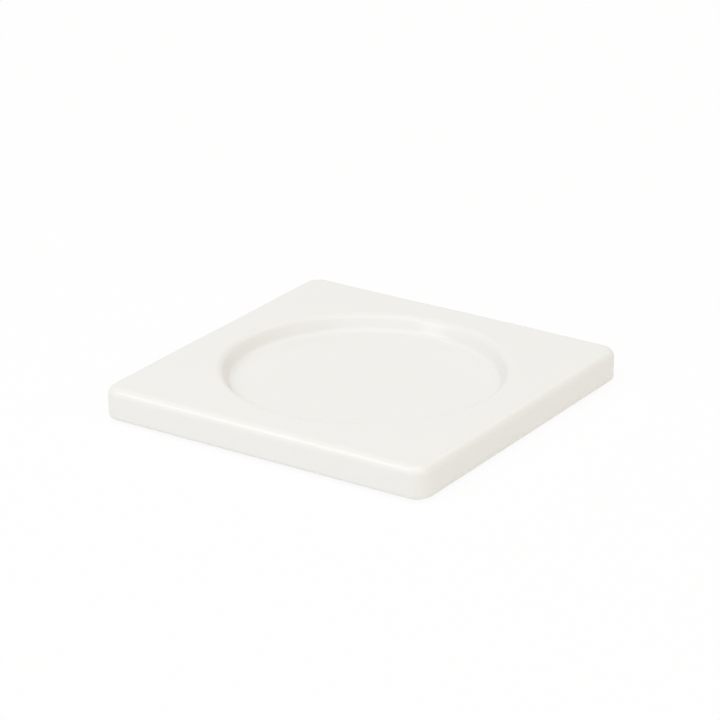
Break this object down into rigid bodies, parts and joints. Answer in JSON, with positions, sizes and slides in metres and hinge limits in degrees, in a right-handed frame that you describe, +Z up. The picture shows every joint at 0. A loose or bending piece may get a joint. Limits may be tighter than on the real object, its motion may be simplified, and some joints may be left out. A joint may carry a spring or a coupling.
{
  "type": "candle plate",
  "caption": "Square glazed ceramic plate with rounded edges and a shallow round seat for a pillar candle, on felt pads.",
  "frame": {"origin": "middle of the plate, on the surface that its felt pads rest on", "axes": "+Z up out of the candle seat, -Y the front side, +X the right side"},
  "size_m": [0.1, 0.1, 0.0096],
  "materials": {
    "white_glaze": "gloss",
    "fired_clay": "matte",
    "felt": "matte",
    "adhesive": "satin"
  },
  "bodies": {
    "root": {"clay_body": "fired_clay", "glaze_coat": "white_glaze", "felt_pad_front_left": "felt", "felt_pad_front_right": "felt", "felt_pad_back_left": "felt", "felt_pad_back_right": "felt", "pad_adhesive_front_left": "adhesive", "pad_adhesive_front_right": "adhesive", "pad_adhesive_back_left": "adhesive", "pad_adhesive_back_right": "adhesive"}
  },
  "joints": []
}
